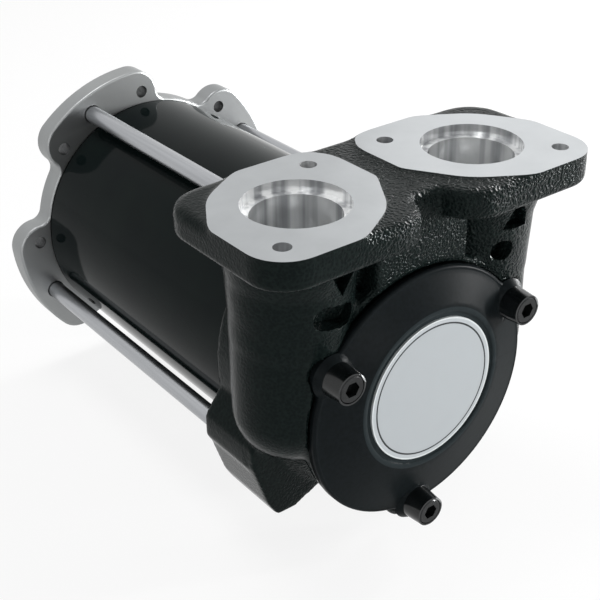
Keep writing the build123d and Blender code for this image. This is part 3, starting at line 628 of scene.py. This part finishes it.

# %% [markdown]
# The flange keeps the shape of its CAD solid, with one change. In the photograph the rods run into
# a plain face, so on a merged copy a cutter turns off the humps that hold the rods. The eight bolt
# holes are tapped, and their walls take the dark finish, which is painted shade.

# %% Spot-face the flange
FLANGE_FRONT_Y, HUMP_R, HUMP_TALL = -8.6, 7.5, 5
BOLT_CIRCLE_R, FLANGE_HOLE_R = 55.0, 2.6


def off_axis(point, radius, angle, z=0.0):
    """How far a point lies, in mm, from one of the lines along Y that ring the shaft."""
    line = round_about(radius, angle, 0, z)
    return math.hypot(point.x / MM - line[0], point.z / MM - line[2])


shield = copied("flange_casting", nodes["rear_end_shield"])
for angle in (ROD_ANGLE + 90 * k for k in range(4)):
    combine(shield, bar(HUMP_R, round_about(ROD_CIRCLE_R, angle, FLANGE_FRONT_Y),
                        round_about(ROD_CIRCLE_R, angle, FLANGE_FRONT_Y - HUMP_TALL)))
coat(shield, 35, flange_metal, tapped)
for face in shield.data.polygons:
    in_hole = any(off_axis(face.center, BOLT_CIRCLE_R, 45 * k) < FLANGE_HOLE_R + NEAR
                  for k in range(8))
    # Hole walls take the dark finish of painted shade.
    if in_hole and abs(face.normal.y) < 0.5:
        face.material_index = 1
    if abs(face.normal.y) > 0.999:
        face.use_smooth = False
apply_modifier(shield, "WEIGHTED_NORMAL", keep_sharp=True)
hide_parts("rear_end_shield")
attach(shield, "housing")
print("flange faces", len(shield.data.polygons), "of them in holes",
      sum(f.material_index for f in shield.data.polygons))

# %% [markdown]
# The photograph shows each cover screw sunk in a tall tapered boss that flares into the cover. The
# CAD cover has only the foot of that boss, so a merged copy gets the rest: a foot cone and a sleeve
# cone round each head are welded to it, and a cutter makes the hole that the head sits in. The
# bosses are rubbed shiny, so they take a glossier finish than the face. Their flat rims take the
# pale aluminium finish, which is a painted highlight.

# %% Rubbed black paint
GREASE = 3.0 * MM
rubbed, tree, shader, where = finish_named("rubbed black paint", Roughness=0.16, IOR=1.5,
                                           Specular_IOR_Level=0.4)
grease = add(tree, "ShaderNodeTexNoise",
             inputs={"Vector": where, "Scale": 0.9 / GREASE, "Detail": 2.0})
tone = add(tree, "ShaderNodeValToRGB", inputs={"Fac": grease.outputs["Fac"]},
           stops=((0.3, "#0e1112"), (0.7, "#141718")))
tree.links.new(tone.outputs["Color"], shader.inputs["Base Color"])

# %% Raise the bosses of the cover
COVER_FACE_Y, HEAD_TIP_Y, HEAD_R = -189.5, -199.1, 5.0
FOOT_R, FOOT_TALL, SLEEVE_R, SLEEVE_TIP_R, HEAD_SEAT = 8.2, 2.0, 6.5, 5.7, 3.55


def on_screw(angle, y):
    """A point on the axis of a cover screw."""
    return round_about(SCREW_CIRCLE_R, angle, y, CHAMBER_Z)


cover = copied("cover_casting", nodes["front_cover"])
for angle in SCREW_ANGLES:
    foot = bar(FOOT_R, on_screw(angle, COVER_FACE_Y + 0.6),
               on_screw(angle, COVER_FACE_Y - FOOT_TALL), 64, SLEEVE_R - 0.1)
    combine(cover, foot, "UNION")
    sleeve = bar(SLEEVE_R, on_screw(angle, COVER_FACE_Y + 0.5),
                 on_screw(angle, HEAD_TIP_Y + 0.15), 64, SLEEVE_TIP_R)
    combine(cover, sleeve, "UNION")
    combine(cover, bar(HEAD_R + 0.06, on_screw(angle, COVER_FACE_Y - HEAD_SEAT),
                       on_screw(angle, HEAD_TIP_Y - 1), 64))
    combine(cover, bar(SCREW_R + 0.2, on_screw(angle, JOINT_Y + 1),
                       on_screw(angle, HEAD_TIP_Y), 48))
coat(cover, 35, satin, rubbed, flange_metal)
for face in cover.data.polygons:
    away = min(off_axis(face.center, SCREW_CIRCLE_R, angle, CHAMBER_Z) for angle in SCREW_ANGLES)
    if away < SLEEVE_R + 0.1 and face.center.y < (COVER_FACE_Y - FOOT_TALL) * MM:
        # The flat rims at the boss tips take the aluminium finish as a painted highlight.
        rim_highlight = away > HEAD_R and face.center.y < (HEAD_TIP_Y + 0.2) * MM
        face.material_index = 2 if rim_highlight and face.normal.y < -0.9 else 1
apply_modifier(cover, "WEIGHTED_NORMAL", keep_sharp=True)
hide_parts("front_cover")
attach(cover, "housing")
print("cover faces", len(cover.data.polygons))

# %% [markdown]
# The hidden and inner pieces get short finishes of their own: rubber, copper, ferrite, carbon,
# ground and sintered steel, zinc plate and acetal. Each wanders between two near shades at the size
# of its grain, and has a faint relief of the same size.

# %% Finishes of the inner pieces
def speckled(name, low, high, grain_mm, **sockets):
    """A finish whose colour wanders between two shades, with a faint relief of the same size."""
    material, tree, shader, where = finish_named(name, **sockets)
    noise = add(tree, "ShaderNodeTexNoise",
                inputs={"Vector": where, "Scale": 1.0 / (grain_mm * MM), "Detail": 3.0})
    tone = add(tree, "ShaderNodeValToRGB", inputs={"Fac": noise.outputs["Fac"]},
               stops=((0.3, low), (0.7, high)))
    tree.links.new(tone.outputs["Color"], shader.inputs["Base Color"])
    bump = add(tree, "ShaderNodeBump", inputs={"Height": noise.outputs["Fac"], "Strength": 0.15,
                                               "Distance": 0.1 * grain_mm * MM})
    tree.links.new(bump.outputs["Normal"], shader.inputs["Normal"])
    return material


rubber = speckled("nitrile rubber", "#141414", "#1d1d1d", 0.8, Roughness=0.75)
copper = speckled("enamelled copper wire", "#9a4f2c", "#b86a3c", 0.7, Roughness=0.3, Metallic=0.9)
bare_copper = speckled("turned copper", "#b87048", "#cf8a60", 0.5, Roughness=0.3, Metallic=1.0)
ferrite = speckled("sintered ferrite", "#242526", "#303132", 0.9, Roughness=0.6)
laminations = speckled("stacked lamination steel", "#6f7173", "#8a8c8e", 0.5,
                       Roughness=0.45, Metallic=0.9)
phenolic = speckled("phenolic board", "#4a2f1a", "#5d3c22", 1.2, Roughness=0.5)
carbon = speckled("electrographite", "#1c1c1d", "#2a2a2b", 0.4, Roughness=0.55)
spring_wire = speckled("spring steel", "#7c7e82", "#96989b", 0.6, Roughness=0.3, Metallic=1.0)
ground = speckled("ground bearing steel", "#bfc2c4", "#d2d4d6", 0.4, Roughness=0.15, Metallic=1.0)
sintered = speckled("sintered steel", "#5a5c5e", "#6c6e70", 0.6, Roughness=0.5, Metallic=0.9)
zinc = speckled("zinc plated steel", "#a9aca8", "#bfc1bb", 1.0, Roughness=0.32, Metallic=1.0)
acetal = speckled("acetal resin", "#d8d3c4", "#e2ddd0", 1.0, Roughness=0.45)

# %% [markdown]
# A CAD node keeps its mesh and place, and only takes a finish, which goes in its object's material
# slots. The three nodes that copies stand for are dressed as well.

# %% Dress the CAD nodes
def dress(names, material):
    """Gives one material to CAD nodes, by their objects' material slots."""
    for name in names:
        o = nodes[name]
        if not o.material_slots:
            o.data.materials.append(material)
        for s in o.material_slots:
            s.material = material


dress(["pump_body"], enamel)
dress(["front_cover"], satin)
dress(["cover_screws"], blackened)
dress(["badge_disc"], label_metal)
dress(["motor_tube"], tube_paint)
dress(["rear_end_shield"], flange_metal)
dress(["tie_rods", "motor_shaft", "rotor_key", "bypass_poppet"], drawn)
dress(["tie_rod_nuts", "bypass_plug"], zinc)
dress(["cable_grommet", "cover_o_ring", "shaft_seal"], rubber)
dress(["field_magnets"], ferrite)
dress(["armature_core"], laminations)
dress(["armature_winding"], copper)
dress(["commutator"], bare_copper)
dress(["brush_holder"], phenolic)
dress(["carbon_brushes"], carbon)
dress(["brush_springs", "bypass_spring", "wave_washer"], spring_wire)
dress(["bearing_outer_races", "bearing_inner_races", "bearing_balls"], ground)
dress(["pump_rotor"], sintered)
dress(["vane_%d" % i for i in range(1, 6)], acetal)
print("dressed nodes", sum(bool(o.material_slots) for o in nodes.values()))

# %% [markdown]
# When the bypass valve opens, its poppet pushes the spring together. A CAD node keeps its length,
# so a merged copy of the spring takes its place, with a mesh of its own.

# %% Bypass spring
coil = copied("valve_spring_coil", nodes["bypass_spring"])
coat(coil, 40, spring_wire)
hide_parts("bypass_spring")
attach(coil, "housing")
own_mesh(coil)

# %% [markdown]
# The object stands on nothing in the photograph but plain white. A pale floor under its lowest
# point takes a soft shadow, and glows only towards the camera and in reflections, so it reads as
# white without lighting the object.

# %% Floor
def seen_directly(tree):
    """1 for what the camera sees, straight, in a reflection or through glass, and 0 otherwise."""
    path = add(tree, "ShaderNodeLightPath")
    seen = add(tree, "ShaderNodeMath", {"operation": "MAXIMUM"},
               {0: path.outputs["Is Camera Ray"], 1: path.outputs["Is Glossy Ray"]})
    return add(tree, "ShaderNodeMath", {"operation": "MAXIMUM"},
               {0: seen.outputs[0], 1: path.outputs["Is Transmission Ray"]}).outputs[0]


FLOOR_GLOW, FLOOR_WIDE = 0.85, 6.0
floor_material = bpy.data.materials.new("pale studio floor")
floor_material.use_nodes = True
tree = floor_material.node_tree
tree.nodes.clear()
matte = add(tree, "ShaderNodeBsdfDiffuse", inputs={"Color": (0.9, 0.9, 0.9, 1.0)})
glow = add(tree, "ShaderNodeEmission", inputs={"Strength": 1.0})
amount = add(tree, "ShaderNodeMath", {"operation": "MULTIPLY"},
             {0: seen_directly(tree), 1: FLOOR_GLOW})
paper = add(tree, "ShaderNodeMixShader",
            inputs={0: amount.outputs[0], 1: matte.outputs[0], 2: glow.outputs[0]})
output = add(tree, "ShaderNodeOutputMaterial")
tree.links.new(paper.outputs[0], output.inputs["Surface"])
empty_hands()
bpy.ops.mesh.primitive_plane_add(size=FLOOR_WIDE, location=(0.0, -0.1, cad_low.z - 0.2 * MM))
floor = bpy.context.object
floor.name = "studio_floor"
floor.data.materials.append(floor_material)
floor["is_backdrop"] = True
print("floor at", round(floor.location.z / MM, 1), "mm")

# %% [markdown]
# The light is that of a plain studio. One soft box hangs overhead. A tall one on the right and a
# narrow one in front of it put the bright edges on the castings, and three weak ones, behind, on
# the left and low in front, keep the sides from going dead. The world fills the rest with grey.

# %% Lights
def softbox(name, place, aim, width, height, watts):
    """A rectangular area light that looks at a point."""
    data = bpy.data.lights.new(name, "AREA")
    data.shape, data.size, data.size_y, data.energy = "RECTANGLE", width, height, watts
    o = bpy.data.objects.new(name, data)
    o.location = place
    o.rotation_euler = (Vector(aim) - Vector(place)).to_track_quat("-Z", "Y").to_euler()
    bpy.context.scene.collection.objects.link(o)


MIDDLE = (0.0, -0.12, 0.0)
softbox("overhead_box", (-0.1, 0.1, 0.95), MIDDLE, 0.4, 0.3, 3.6)
softbox("right_box", (0.95, 0.02, 0.17), MIDDLE, 0.14, 0.5, 12.0)
softbox("behind_box", (1.0, 0.5, 0.55), MIDDLE, 0.7, 0.5, 0.8)
softbox("front_right_box", (0.9, -0.62, 0.1), MIDDLE, 0.05, 0.3, 12.0)
softbox("left_box", (-0.75, -0.6, 0.25), MIDDLE, 0.3, 0.5, 1.0)
softbox("front_low_box", (-0.05, -0.95, 0.02), MIDDLE, 0.5, 0.12, 1.5)
print("lights", len(bpy.data.lights))

# %% World
FILL = 0.35
world = bpy.data.worlds.new("studio")
bpy.context.scene.world = world
world.use_nodes = True
tree = world.node_tree
strength = add(tree, "ShaderNodeMapRange",
               inputs={"Value": seen_directly(tree), "To Min": FILL, "To Max": 1.0})
tree.links.new(strength.outputs["Result"], tree.nodes["Background"].inputs["Strength"])
tree.nodes["Background"].inputs["Color"].default_value = (1.0, 1.0, 1.0, 1.0)
bpy.context.scene.view_settings.view_transform = "Standard"

# %% Finish
low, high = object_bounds()
print("visual box in mm", [round(v / MM, 1) for v in (high - low)])
